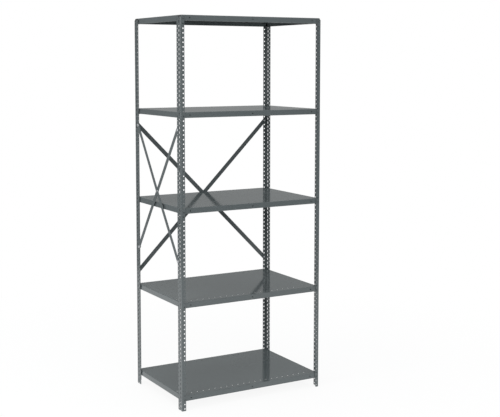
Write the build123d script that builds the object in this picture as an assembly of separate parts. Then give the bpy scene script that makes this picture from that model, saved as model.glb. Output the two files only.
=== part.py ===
"""Boltless steel shelving: four perforated angle posts, five box-edged shelves, clips and sway braces.

Frame: +Z up, front towards -Y, width along X. The origin is on the floor, at the middle of the
whole footprint. The builders below work in the post frame, whose zero is the outer corner of the
front left post at floor level, and everything is shifted to the row frame at the end.
"""
from build123d import *
import math
import os

INCH = 25.4

# ---- driving dimensions (mm) ----------------------------------------------------------------
PITCH = 1.0 * INCH                  # height step of the post holes
POST_HEIGHT = 87.0 * INCH
POST_T = 1.9                        # 14 gauge steel
POST_FRONT_LEG = 0.95 * INCH        # leg that lies across the front or the back
POST_SIDE_LEG = 1.93 * INCH         # leg that lies along the end of the unit
POST_BEND_R = 2.8                   # outer radius of the corner bend
FRONT_ROW = 0.65 * INCH             # round holes, distance from the outer corner
SIDE_ROW = 1.66 * INCH
HOLE_D = 8.5                        # clears a 5/16 in bolt
FIRST_HOLE_Z = 0.5 * PITCH          # round holes sit half way between the clip slots
SLOT_ROW = 0.80 * INCH              # clip slots, distance from the outer corner to their middle
SLOT_W = 0.34 * INCH
SLOT_H = 0.60 * INCH
CROP_X = 0.20 * INCH                # clipped corner at one end of each post's front leg
CROP_Z = 0.55 * INCH

SHELF_L = 35.75 * INCH
SHELF_D = 24.0 * INCH
SHELF_H = 1.25 * INCH               # height of the box edge
SHELF_T = 0.9                       # 20 gauge steel
SHELF_BEND_R = 2.4                  # outer radius of the bends
BOTTOM_DECK_Z = 3.4 * INCH          # top face of the lowest shelf
SHELF_STEP = 21 * PITCH
SHELF_NAMES = ("bottom_shelf", "lower_shelf", "middle_shelf", "upper_shelf", "top_shelf")
END_LIP = 14.0                      # inward return under the two ends
EDGE_LIP = 20.0                     # inward return under the front and back
HEM_H = 24.0                        # upturned hem that closes the front and back box
MITRE_GAP = 0.8                     # cut between two returns where they meet in a corner
DIVIDER_COUNT = 21
DIVIDER_PITCH = 1.5 * INCH
DIVIDER_INSET = 1.5 * INCH
DIVIDER_D = 7.0
PANEL_HOLE_X = 0.43 * INCH          # single holes near the deck's ends
PANEL_HOLE_Y = 3.9 * INCH
FACE_HOLE_INSET = 2.05 * INCH
FACE_HOLE_D = 7.0

END_GAP = 0.24 * INCH               # shelf end face to the outer face of the post's side leg
FRONT_GAP = 0.15 * INCH             # shelf front or back to the outer face of the other leg

CLIP_T = 1.5
CLIP_FROM = 0.24 * INCH             # the clip's span along the side leg, from the corner
CLIP_TO = 1.36 * INCH
CLIP_LEDGE = 12.0                   # how far the seat reaches under the shelf
CLIP_DROP = 4.0                     # how far the post-side leg hangs below the shelf
CLIP_TOP_GAP = 2.5                  # clip top below the deck surface
STUD_W = 6.0
STUD_H = 12.0
SLOT_ABOVE_DECK = -0.4 * INCH       # middle of the slot that the clip uses, against the deck

STRAP_W = 1.0 * INCH
STRAP_T = 1.9
STRAP_HOLE_D = 8.7
BACK_TOP_Z = 62.5 * INCH
BACK_LOW_Z = 27.5 * INCH
SIDE_TOP_Z = 62.5 * INCH
SIDE_LOW_Z = 33.5 * INCH
END_FLAT = 34.0                     # straight stretch at each end of the bowed strap
MID_FLAT = 44.0                     # straight stretch where it rides over the other strap

BOLT_D = 7.9                        # 5/16 in
BOLT_HEAD_D = 15.5
BOLT_HEAD_H = 3.4
BOLT_PAST_NUT = 2.0
BOLT_CHAMFER = 0.8
BOLT_SLOT_L = 8.0                   # the driver slot across the head
BOLT_SLOT_W = 1.4
BOLT_SLOT_DEEP = 1.3
HEAD_ROUNDING = 0.8                 # share of a head's height taken by its rounded edge
NUT_AF = 12.7
NUT_H = 6.0
NUT_BEVEL = 0.3
RIVET_D = 8.0
RIVET_HEAD_D = 14.0
RIVET_HEAD_H = 2.2
RIVET_TAIL_D = 12.0
RIVET_TAIL_H = 1.2

# ---- sizes that follow -----------------------------------------------------------------------
WIDTH = SHELF_L + 2 * END_GAP
DEPTH = SHELF_D + 2 * FRONT_GAP
BRACE_STACK = 2 * STRAP_T + RIVET_HEAD_H
X_MID = (WIDTH - BRACE_STACK) / 2
Y_MID = (DEPTH + BRACE_STACK) / 2
ROW_COUNT = round(POST_HEIGHT / PITCH)
CLIP_GAP = END_GAP - POST_T


def extruded(outline, holes, plane, depth):
    """A plate with holes: the outline wire less its hole wires, pushed along the plane's normal."""
    face = Face(outline, holes)
    return extrude(plane * face, amount=depth, dir=plane.z_dir)


def round_hole(x, y, diameter):
    return Wire.make_circle(diameter / 2, Plane((x, y, 0)))


def upright_slot(x, y, width, height):
    """A vertical slot with round ends."""
    r = width / 2
    half = height / 2 - r
    low_right = (x + r, y - half)
    high_right = (x + r, y + half)
    high_left = (x - r, y + half)
    low_left = (x - r, y - half)
    return Wire([
        Edge.make_line(low_right, high_right),
        Edge.make_three_point_arc(high_right, (x, y + half + r), high_left),
        Edge.make_line(high_left, low_left),
        Edge.make_three_point_arc(low_left, (x, y - half - r), low_right),
    ])


# ---- posts -----------------------------------------------------------------------------------
def post():
    """A post with its corner at the origin, its front leg along +X and its side leg along +Y.

    The clipped corner is at the top. Turned end for end, the same post serves the other hand, so
    the hole rows are symmetric about mid height. Both ends cut through the middle of a slot.
    """
    heights = [FIRST_HOLE_Z + PITCH * i for i in range(ROW_COUNT)]
    slot_heights = [PITCH * i for i in range(1, ROW_COUNT)]
    leg, top, r = POST_FRONT_LEG, POST_HEIGHT, POST_BEND_R
    front_outline = Wire.make_polygon(
        [(r, 0), (leg, 0), (leg, top - CROP_Z), (leg - CROP_X, top), (r, top)], close=True)
    front_holes = [round_hole(FRONT_ROW, z, HOLE_D) for z in heights]
    front_plane = Plane((0, POST_T, 0), x_dir=(1, 0, 0), z_dir=(0, -1, 0))
    front_leg = extruded(front_outline, front_holes, front_plane, POST_T)

    side_outline = Wire.make_polygon(
        [(r, 0), (POST_SIDE_LEG, 0), (POST_SIDE_LEG, top), (r, top)], close=True)
    side_holes = [round_hole(SIDE_ROW, z, HOLE_D) for z in heights]
    side_holes += [upright_slot(SLOT_ROW, z, SLOT_W, SLOT_H) for z in slot_heights]
    side_plane = Plane((0, 0, 0), x_dir=(0, 1, 0), z_dir=(1, 0, 0))
    side_leg = extruded(side_outline, side_holes, side_plane, POST_T)
    half_slot = Box(4 * POST_T, SLOT_W, SLOT_H)
    side_leg -= [Pos(0, SLOT_ROW, z) * half_slot for z in (0, top)]

    bend = Cylinder(r, top, align=(Align.CENTER, Align.CENTER, Align.MIN))
    bend -= Cylinder(r - POST_T, top, align=(Align.CENTER, Align.CENTER, Align.MIN))
    bend &= Box(r, r, top, align=(Align.MAX, Align.MAX, Align.MIN))
    return front_leg + side_leg + Pos(r, r, 0) * bend


def placed_posts():
    """The same post four times: two as made, two turned end for end."""
    one = post()
    end_for_end = Pos(WIDTH, 0, POST_HEIGHT) * Rot(0, 180, 0)
    half_turn = Pos(WIDTH, DEPTH, 0) * Rot(0, 0, 180)
    return {
        "front_left_post": one,
        "front_right_post": end_for_end * one,
        "back_right_post": half_turn * one,
        "back_left_post": half_turn * end_for_end * one,
    }


# ---- shelves ---------------------------------------------------------------------------------
def hollow_pan():
    """The folded pan: deck, four faces and the returns under them, with the deck's top at z = 0."""
    outer = Pos(0, 0, -SHELF_H / 2) * Box(SHELF_L, SHELF_D, SHELF_H)
    outer = fillet(outer.edges(), SHELF_BEND_R)
    t = SHELF_T
    inner = Pos(0, 0, -SHELF_H / 2) * Box(SHELF_L - 2 * t, SHELF_D - 2 * t, SHELF_H - 2 * t)
    inner = fillet(inner.edges(), SHELF_BEND_R - t)
    mouth = Box(SHELF_L - 2 * END_LIP, SHELF_D - 2 * EDGE_LIP, SHELF_H / 2)
    return outer - inner - Pos(0, 0, -SHELF_H) * mouth


def shelf_hems():
    """The upturned hems that stand on the inner edge of the front and back returns."""
    length = SHELF_L - 2 * END_LIP
    y = SHELF_D / 2 - EDGE_LIP + SHELF_T / 2
    z = -SHELF_H + HEM_H / 2
    return [Pos(0, side * y, z) * Box(length, SHELF_T, HEM_H) for side in (-1, 1)]


def shelf_cutters():
    """Everything punched out of the pan."""
    cutters = []
    first = -DIVIDER_PITCH * (DIVIDER_COUNT - 1) / 2
    row_y = SHELF_D / 2 - DIVIDER_INSET
    panel_x = SHELF_L / 2 - PANEL_HOLE_X
    panel_y = SHELF_D / 2 - PANEL_HOLE_Y
    punch = Cylinder(DIVIDER_D / 2, 4 * SHELF_T)
    for side in (-1, 1):
        for i in range(DIVIDER_COUNT):
            cutters.append(Pos(first + DIVIDER_PITCH * i, side * row_y, -SHELF_T / 2) * punch)
        for end in (-1, 1):
            cutters.append(Pos(end * panel_x, side * panel_y, -SHELF_T / 2) * punch)
    through = Rot(90, 0, 0) * Cylinder(FACE_HOLE_D / 2, 4 * SHELF_T)
    for side in (-1, 1):
        for x in (FACE_HOLE_INSET - SHELF_L / 2, 0, SHELF_L / 2 - FACE_HOLE_INSET):
            cutters.append(Pos(x, side * SHELF_D / 2, -SHELF_H / 2) * through)
    # the returns are separate folds, so a narrow mitre runs from each corner to the mouth
    reach = math.hypot(END_LIP, EDGE_LIP)
    angle = math.degrees(math.atan2(EDGE_LIP, END_LIP))
    for end in (-1, 1):
        for side in (-1, 1):
            middle = Pos(end * (SHELF_L - END_LIP) / 2, side * (SHELF_D - EDGE_LIP) / 2, -SHELF_H)
            cut = Box(reach - 2 * SHELF_BEND_R, MITRE_GAP, 4 * SHELF_T)
            cutters.append(middle * Rot(0, 0, end * side * angle) * cut)
    return cutters


def shelf():
    body = hollow_pan()
    for hem in shelf_hems():
        body += hem
    return body - shelf_cutters()


def deck_height(level):
    return BOTTOM_DECK_Z + SHELF_STEP * level


# ---- shelf clips -----------------------------------------------------------------------------
def clip():
    """A compression clip for the front left corner, with z = 0 at the deck surface.

    Sheet steel folded over the gap between the post's side leg and the shelf's end face. Its stud
    stands in a slot of the post, and its seat is turned in under the shelf's end return.
    """
    t = CLIP_T
    inside = POST_T
    shelf_face = POST_T + CLIP_GAP
    top = -CLIP_TOP_GAP
    seat = -SHELF_H
    outline = Wire.make_polygon([
        (inside, seat - CLIP_DROP), (inside, top), (shelf_face, top), (shelf_face, seat),
        (shelf_face + CLIP_LEDGE, seat), (shelf_face + CLIP_LEDGE, seat - t),
        (shelf_face - t, seat - t), (shelf_face - t, top - t),
        (inside + t, top - t), (inside + t, seat - CLIP_DROP),
    ], close=True)
    plane = Plane((0, CLIP_TO, 0), x_dir=(1, 0, 0), z_dir=(0, -1, 0))
    folded = extruded(outline, [], plane, CLIP_TO - CLIP_FROM)
    stud = Box(POST_T, STUD_W, STUD_H, align=(Align.MIN, Align.CENTER, Align.CENTER))
    return folded + Pos(0, SLOT_ROW, SLOT_ABOVE_DECK) * stud


def placed_clips():
    """Four clips to each shelf. Front right and back left ones are the mirror hand."""
    one = clip()
    other = mirror(one, Plane.YZ)
    corners = {
        "front_left": one,
        "front_right": Pos(WIDTH, 0, 0) * other,
        "back_right": Pos(WIDTH, DEPTH, 0) * Rot(0, 0, 180) * one,
        "back_left": Pos(0, DEPTH, 0) * Rot(0, 0, 180) * other,
    }
    nodes = {}
    for level, name in enumerate(SHELF_NAMES):
        for corner, shape in corners.items():
            node = name.replace("shelf", "clip") + "_" + corner
            nodes[node] = Pos(0, 0, deck_height(level)) * shape
    return nodes


# ---- sway braces -----------------------------------------------------------------------------
def strap(length, bowed):
    """A brace strap, holes `length` apart, flat on z = 0 with its middle at the origin.

    The bowed one lies flat at both ends and rises by one thickness to pass over its partner.
    """
    t = STRAP_T
    reach = length / 2 + STRAP_W / 2
    rise = t if bowed else 0
    under = [(-reach, 0), (END_FLAT - reach, 0), (-MID_FLAT / 2, rise),
             (MID_FLAT / 2, rise), (reach - END_FLAT, 0), (reach, 0)]
    if not bowed:
        under = [under[0], under[-1]]
    over = [(x, z + t) for x, z in reversed(under)]
    side_view = Wire.make_polygon(under + over, close=True)
    plane = Plane((0, STRAP_W / 2, 0), x_dir=(1, 0, 0), z_dir=(0, -1, 0))
    body = extruded(side_view, [], plane, STRAP_W)
    tall = 4 * t
    body &= extrude(SlotOverall(2 * reach, STRAP_W), amount=tall, both=True)
    punch = Cylinder(STRAP_HOLE_D / 2, 2 * tall)
    centre_punch = Cylinder(RIVET_D / 2, 2 * tall)
    return body - Pos(-length / 2, 0, 0) * punch - Pos(length / 2, 0, 0) * punch - centre_punch


def bolt():
    """A round-head bolt, head outside the strap at z = 0 and shank towards -z."""
    shank = STRAP_T + POST_T + NUT_H + BOLT_PAST_NUT
    head = Cylinder(BOLT_HEAD_D / 2, BOLT_HEAD_H, align=(Align.CENTER, Align.CENTER, Align.MIN))
    head = fillet(head.edges().sort_by(Axis.Z)[-1], BOLT_HEAD_H * HEAD_ROUNDING)
    stem = Cylinder(BOLT_D / 2, shank, align=(Align.CENTER, Align.CENTER, Align.MAX))
    stem = chamfer(stem.edges().sort_by(Axis.Z)[0], BOLT_CHAMFER)
    recess = Pos(0, 0, BOLT_HEAD_H) * Box(BOLT_SLOT_L, BOLT_SLOT_W, 2 * BOLT_SLOT_DEEP)
    return head + stem - recess


def nut():
    """A hexagon nut under the post leg: its face meets the leg's inner side."""
    body = extrude(RegularPolygon(NUT_AF / 2, 6, major_radius=False), amount=NUT_H)
    narrow = NUT_AF / 2 - NUT_BEVEL
    bevel = Cone(narrow, narrow + NUT_H, NUT_H, align=(Align.CENTER, Align.CENTER, Align.MIN))
    body &= bevel
    body -= Cylinder(BOLT_D / 2, 3 * NUT_H)
    return Pos(0, 0, -STRAP_T - POST_T - NUT_H) * body


def rivet():
    """The rivet through both straps where they cross. z = 0 is the post's outer face."""
    stack = 2 * STRAP_T
    head = Cylinder(RIVET_HEAD_D / 2, RIVET_HEAD_H, align=(Align.CENTER, Align.CENTER, Align.MIN))
    head = fillet(head.edges().sort_by(Axis.Z)[-1], RIVET_HEAD_H * HEAD_ROUNDING)
    shank = Cylinder(RIVET_D / 2, stack, align=(Align.CENTER, Align.CENTER, Align.MIN))
    tail = Cylinder(RIVET_TAIL_D / 2, RIVET_TAIL_H, align=(Align.CENTER, Align.CENTER, Align.MAX))
    return Pos(0, 0, stack) * head + shank + tail


def brace_set(place, run, low, high, prefix):
    """One X of two straps with its rivet, bolts and nuts.

    `place` puts the panel frame (x along the run, y up, z outwards) on the unit's back or end.
    """
    rise = high - low
    length = math.hypot(run, rise)
    angle = math.degrees(math.atan2(rise, run))
    middle = Pos(0, (low + high) / 2, 0)
    corners = [(x, z) for x in (-run / 2, run / 2) for z in (low, high)]
    bolts = [Pos(x, z, STRAP_T) * bolt() for x, z in corners]
    nuts = [Pos(x, z, STRAP_T) * nut() for x, z in corners]
    return {
        prefix + "_brace_rising": place * middle * Rot(0, 0, angle) * strap(length, False),
        prefix + "_brace_falling": place * middle * Rot(0, 0, -angle) * strap(length, True),
        prefix + "_brace_rivet": place * middle * rivet(),
        prefix + "_brace_bolts": Compound([place * one for one in bolts]),
        prefix + "_brace_nuts": Compound([place * one for one in nuts]),
    }


def placed_braces():
    back_run = WIDTH - 2 * FRONT_ROW
    side_run = DEPTH - 2 * SIDE_ROW
    back = Plane((WIDTH / 2, DEPTH, 0), x_dir=(-1, 0, 0), z_dir=(0, 1, 0)).location
    side = Plane((0, DEPTH / 2, 0), x_dir=(0, -1, 0), z_dir=(-1, 0, 0)).location
    nodes = brace_set(back, back_run, BACK_LOW_Z, BACK_TOP_Z, "back")
    nodes.update(brace_set(side, side_run, SIDE_LOW_Z, SIDE_TOP_Z, "side"))
    return nodes


def build():
    nodes = placed_posts()
    one_shelf = shelf()
    for level, name in enumerate(SHELF_NAMES):
        nodes[name] = Pos(WIDTH / 2, DEPTH / 2, deck_height(level)) * one_shelf
    nodes.update(placed_clips())
    nodes.update(placed_braces())
    return {name: Pos(-X_MID, -Y_MID, 0) * shape for name, shape in nodes.items()}


def main():
    os.makedirs("parts", exist_ok=True)
    for name, shape in build().items():
        export_step(shape, f"parts/{name}.step")


main()
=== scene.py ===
import math

import bpy
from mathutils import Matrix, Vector

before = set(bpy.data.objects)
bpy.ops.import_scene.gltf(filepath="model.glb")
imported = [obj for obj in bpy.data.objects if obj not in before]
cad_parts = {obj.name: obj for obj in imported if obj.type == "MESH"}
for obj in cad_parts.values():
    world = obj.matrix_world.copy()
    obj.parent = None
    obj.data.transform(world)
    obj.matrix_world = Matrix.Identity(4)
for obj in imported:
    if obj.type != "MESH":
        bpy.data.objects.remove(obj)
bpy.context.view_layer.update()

# ---- camera: the photograph's viewing angle --------------------------------------------------
CAMERA_AT = (-2.9517, -5.3606, 1.9538)
CAMERA_YAW = 29.684                 # degrees from +Y towards +X
CAMERA_DOWN = 5.143                 # degrees below the horizon
LENS = 73.77                        # mm, on a 36 mm wide sensor
SHIFT = (0.0170, -0.1054)

# ---- enamel: colours are linear, lengths in metres, noise scales in cycles per metre ---------
ENAMEL = (0.088, 0.102, 0.106)
ENAMEL_WORN = (0.30, 0.30, 0.31)
ENAMEL_SHADES = (0.94, 1.06)        # darkest and lightest cloud, times the colour
ENAMEL_GLOSS = (0.8, 1.35)          # glossiest and dullest patch, times the roughness
ENAMEL_IOR = 1.5
CLOUD_SCALE = 2.2
SMEAR_SCALE = 9.0                   # patches of gloss, and the broad ripple of the sheet
RIPPLE_HEIGHT = 0.00006
PEEL_SCALE = 520.0                  # orange peel
SCUFF_SCALE = 55.0
SCUFF_STRETCH = (1.0, 1.0, 0.35)    # scuffs are longer upwards than across
SCUFF_BAND = (0.56, 0.68)           # noise values between which an edge goes from whole to rubbed
RUBBED_MOST = 0.5                   # share of bare colour where an edge is rubbed most
RUBBED_ROUGHNESS = 0.25             # roughness that full rubbing would add
EDGE_RADIUS = 0.0009
EDGE_BAND = (0.98, 0.80)            # cosines between true and rounded normal: flat, then edge

# ---- zinc plate ------------------------------------------------------------------------------
ZINC = (0.62, 0.63, 0.65)
CLIP_ZINC_DARKENING = 0.25                    # the clips' zinc colour is darkened to this share of that brightness
ZINC_SHADES = (0.86, 1.08)
ZINC_GLOSS = (-0.08, 0.10)          # glossiest and dullest patch, added to the roughness
GRAIN_SCALE = 900.0
GRAIN_HEIGHT = 0.00004
TARNISH_SCALE = 160.0

# ---- parts of a noise's range that are stretched to a full range -----------------------------
MIDDLE = (0.35, 0.65)
BROAD = (0.3, 0.7)
FULL = (0.0, 1.0)

# ---- surroundings ----------------------------------------------------------------------------
WHITE = (1, 1, 1, 1)
FLOOR_REACH = 4.0
FLOOR_COLOUR = (0.93, 0.93, 0.93, 1)
FADE_BETWEEN = (0.6, 3.0)           # distance from the middle where the floor turns white
FADE_LEAST = 0.90                   # share of white right under the shelving
DOME_RADIUS = 60.0
SKY_LEVELS = ((0.0, 0.29), (0.15, 0.35), (0.35, 0.46), (0.65, 0.92))    # height, brightness
SKY_RED = 0.97                      # slightly cool light
LIGHTS_AIM = (0, 0, 1.1)
SOFTBOX_SIZE = (3.0, 3.0)
LEFT_SOFTBOX = ((-4.5, -1.0, 2.2), 104)                                 # place, power in watts
FRONT_SOFTBOX = ((-1.2, -5.0, 3.0), 114)


# ---- node helpers ----------------------------------------------------------------------------
class Nodes:
    """A short way to build a material's node tree."""

    def __init__(self, name):
        self.material = bpy.data.materials.new(name)
        self.material.use_nodes = True
        self.tree = self.material.node_tree
        self.shader = self.tree.nodes["Principled BSDF"]
        coords = self.tree.nodes.new("ShaderNodeTexCoord")
        self.place = coords.outputs["Object"]

    def add(self, kind, **values):
        node = self.tree.nodes.new(kind)
        for key, value in values.items():
            setattr(node, key, value)
        return node

    def link(self, out, socket):
        self.tree.links.new(out, socket)

    def noise(self, scale, detail, stretch=(1, 1, 1)):
        mapping = self.add("ShaderNodeMapping")
        mapping.inputs["Scale"].default_value = stretch
        self.link(self.place, mapping.inputs["Vector"])
        node = self.add("ShaderNodeTexNoise")
        node.inputs["Scale"].default_value = scale
        node.inputs["Detail"].default_value = detail
        self.link(mapping.outputs["Vector"], node.inputs["Vector"])
        return node.outputs["Fac"]

    def spread(self, value, band, result):
        """Maps value from one range to another and clamps it."""
        node = self.add("ShaderNodeMapRange")
        for key, number in zip(("From Min", "From Max", "To Min", "To Max"), (*band, *result)):
            node.inputs[key].default_value = number
        self.link(value, node.inputs["Value"])
        return node.outputs["Result"]

    def maths(self, operation, a, b):
        node = self.add("ShaderNodeMath", operation=operation)
        for socket, value in zip(node.inputs, (a, b)):
            if isinstance(value, (int, float)):
                socket.default_value = value
            else:
                self.link(value, socket)
        return node.outputs[0]

    def mix(self, factor, a, b):
        """A colour between a and b, each a colour or an output."""
        node = self.add("ShaderNodeMix", data_type="RGBA")
        self.link(factor, node.inputs["Factor"])
        colours = [socket for socket in node.inputs if socket.type == "RGBA"]
        for socket, value in zip(colours, (a, b)):
            if isinstance(value, tuple):
                socket.default_value = (*value, 1.0)
            else:
                self.link(value, socket)
        return next(out for out in node.outputs if out.type == "RGBA")

    def edge(self, radius):
        """1 on a sharp edge and 0 on a flat, from the difference that rounding would make."""
        soft = self.add("ShaderNodeBevel", samples=4)
        soft.inputs["Radius"].default_value = radius
        plain = self.add("ShaderNodeNewGeometry")
        dot = self.add("ShaderNodeVectorMath", operation="DOT_PRODUCT")
        self.link(soft.outputs["Normal"], dot.inputs[0])
        self.link(plain.outputs["Normal"], dot.inputs[1])
        return self.spread(dot.outputs["Value"], EDGE_BAND, FULL)

    def bump(self, height, distance, under=None):
        node = self.add("ShaderNodeBump")
        node.inputs["Strength"].default_value = 1.0
        node.inputs["Distance"].default_value = distance
        self.link(height, node.inputs["Height"])
        if under is not None:
            self.link(under, node.inputs["Normal"])
        return node.outputs["Normal"]


def tinted(colour, factor):
    return tuple(min(1.0, c * factor) for c in colour)


def shades(colour, factors):
    return [tinted(colour, factor) for factor in factors]


def enamel(name, rough, peel_height):
    """Glossy baked enamel over sheet steel: clouded colour, orange peel, scuffs, rubbed edges."""
    n = Nodes(name)
    clouds = n.noise(CLOUD_SCALE, detail=4.0)
    colour = n.mix(n.spread(clouds, MIDDLE, FULL), *shades(ENAMEL, ENAMEL_SHADES))
    scuffs = n.noise(SCUFF_SCALE, detail=6.0, stretch=SCUFF_STRETCH)
    worn = n.spread(scuffs, SCUFF_BAND, (0.0, RUBBED_MOST))
    rubbed = n.maths("MULTIPLY", n.edge(EDGE_RADIUS), worn)
    colour = n.mix(rubbed, colour, ENAMEL_WORN)
    n.link(colour, n.shader.inputs["Base Color"])
    smears = n.noise(SMEAR_SCALE, detail=5.0)
    roughness = n.spread(smears, BROAD, [rough * factor for factor in ENAMEL_GLOSS])
    roughness = n.maths("ADD", roughness, n.maths("MULTIPLY", rubbed, RUBBED_ROUGHNESS))
    n.link(roughness, n.shader.inputs["Roughness"])
    peel = n.bump(n.noise(PEEL_SCALE, detail=2.0), peel_height)
    ripple = n.bump(n.noise(SMEAR_SCALE, detail=1.0), RIPPLE_HEIGHT, under=peel)
    n.link(ripple, n.shader.inputs["Normal"])
    n.shader.inputs["IOR"].default_value = ENAMEL_IOR
    return n.material


def zinc(name, colour, rough):
    """Zinc plate: fine grain, uneven gloss."""
    n = Nodes(name)
    grain = n.noise(GRAIN_SCALE, detail=4.0)
    n.link(n.mix(n.spread(grain, MIDDLE, FULL), *shades(colour, ZINC_SHADES)),
           n.shader.inputs["Base Color"])
    n.shader.inputs["Metallic"].default_value = 1.0
    tarnish = n.noise(TARNISH_SCALE, detail=3.0)
    n.link(n.spread(tarnish, BROAD, [rough + change for change in ZINC_GLOSS]),
           n.shader.inputs["Roughness"])
    n.link(n.bump(grain, GRAIN_HEIGHT), n.shader.inputs["Normal"])
    return n.material


FINISHES = {
    "post_enamel": enamel("post enamel", rough=0.15, peel_height=0.000008),
    "shelf_enamel": enamel("shelf enamel", rough=0.085, peel_height=0.000004),
    "brace_enamel": enamel("brace enamel", rough=0.20, peel_height=0.000010),
    # the clips' zinc colour is darkened to a quarter of the fasteners' colour
    "clip_zinc": zinc("clip zinc", tinted(ZINC, CLIP_ZINC_DARKENING), rough=0.45),
    "fastener_zinc": zinc("fastener zinc", ZINC, rough=0.34),
}


def slot_of(node):
    if node.endswith("_post"):
        return "post_enamel"
    if node.endswith("_shelf"):
        return "shelf_enamel"
    if "_clip_" in node:
        return "clip_zinc"
    if node.endswith(("_rising", "_falling")):
        return "brace_enamel"
    return "fastener_zinc"


for node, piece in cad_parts.items():
    slot = slot_of(node)
    piece.data.materials.clear()
    piece.data.materials.append(FINISHES[slot])


# ---- floor, light and camera -----------------------------------------------------------------
def stage_material(name, build):
    """A material whose surface is the shader that build(tree) makes."""
    material = bpy.data.materials.new(name)
    material.use_nodes = True
    tree = material.node_tree
    tree.nodes.clear()
    out = tree.nodes.new("ShaderNodeOutputMaterial")
    tree.links.new(build(tree), out.inputs["Surface"])
    return material


def white_glow(tree):
    glow = tree.nodes.new("ShaderNodeEmission")
    glow.inputs["Color"].default_value = WHITE
    return glow.outputs["Emission"]


def plain_floor(tree):
    """Pale floor, which fades into the white surroundings away from the shelving."""
    matt = tree.nodes.new("ShaderNodeBsdfDiffuse")
    matt.inputs["Color"].default_value = FLOOR_COLOUR
    place = tree.nodes.new("ShaderNodeTexCoord")
    length = tree.nodes.new("ShaderNodeVectorMath")
    length.operation = "LENGTH"
    fade = tree.nodes.new("ShaderNodeMapRange")
    fade.interpolation_type = "SMOOTHSTEP"
    fade.inputs["From Min"].default_value, fade.inputs["From Max"].default_value = FADE_BETWEEN
    fade.inputs["To Min"].default_value = FADE_LEAST
    mix = tree.nodes.new("ShaderNodeMixShader")
    link = tree.links.new
    link(place.outputs["Object"], length.inputs[0])
    link(length.outputs["Value"], fade.inputs["Value"])
    link(fade.outputs["Result"], mix.inputs["Fac"])
    link(matt.outputs["BSDF"], mix.inputs[1])
    link(white_glow(tree), mix.inputs[2])
    return mix.outputs["Shader"]


def make_floor():
    bpy.ops.mesh.primitive_circle_add(vertices=96, radius=FLOOR_REACH, fill_type="NGON")
    floor = bpy.context.object
    floor.name = "floor"
    floor.data.materials.append(stage_material("floor", plain_floor))


def make_dome():
    """What the camera sees behind the floor. The light comes from the world and the lamps."""
    bpy.ops.mesh.primitive_uv_sphere_add(segments=64, ring_count=32, radius=DOME_RADIUS)
    dome = bpy.context.object
    dome.name = "backdrop"
    dome.data.materials.append(stage_material("backdrop", white_glow))
    dome.visible_diffuse = False
    dome.visible_glossy = False
    dome.visible_transmission = False
    dome.visible_shadow = False


def make_world():
    """Soft light from everywhere, dimmer near the horizon and brighter overhead."""
    world = bpy.data.worlds.new("studio")
    bpy.context.scene.world = world
    world.use_nodes = True
    tree = world.node_tree
    tree.nodes.clear()
    link = tree.links.new
    out = tree.nodes.new("ShaderNodeOutputWorld")
    sky = tree.nodes.new("ShaderNodeBackground")
    place = tree.nodes.new("ShaderNodeTexCoord")
    parts = tree.nodes.new("ShaderNodeSeparateXYZ")
    ramp = tree.nodes.new("ShaderNodeValToRGB")
    link(place.outputs["Generated"], parts.inputs["Vector"])
    link(parts.outputs["Z"], ramp.inputs["Fac"])
    link(ramp.outputs["Color"], sky.inputs["Color"])
    link(sky.outputs["Background"], out.inputs["Surface"])
    elements = ramp.color_ramp.elements
    while len(elements) < len(SKY_LEVELS):
        elements.new(0.5)
    for element, (position, level) in zip(elements, SKY_LEVELS):
        element.position = position
        element.color = (level * SKY_RED, level, level, 1)


def softbox(name, place, power):
    data = bpy.data.lights.new(name, "AREA")
    data.shape = "RECTANGLE"
    data.size, data.size_y = SOFTBOX_SIZE
    data.energy = power
    lamp = bpy.data.objects.new(name, data)
    bpy.context.scene.collection.objects.link(lamp)
    lamp.location = place
    lamp.rotation_euler = (Vector(LIGHTS_AIM) - Vector(place)).to_track_quat("-Z", "Y").to_euler()


def make_camera():
    data = bpy.data.cameras.new("camera")
    data.lens = LENS
    data.shift_x, data.shift_y = SHIFT
    camera = bpy.data.objects.new("camera", data)
    bpy.context.scene.collection.objects.link(camera)
    camera.location = CAMERA_AT
    camera.rotation_euler = (math.radians(90 - CAMERA_DOWN), 0, math.radians(-CAMERA_YAW))
    bpy.context.scene.camera = camera


make_floor()
make_dome()
make_world()
softbox("left_softbox", *LEFT_SOFTBOX)
softbox("front_softbox", *FRONT_SOFTBOX)
make_camera()
bpy.context.scene.view_settings.view_transform = "Standard"
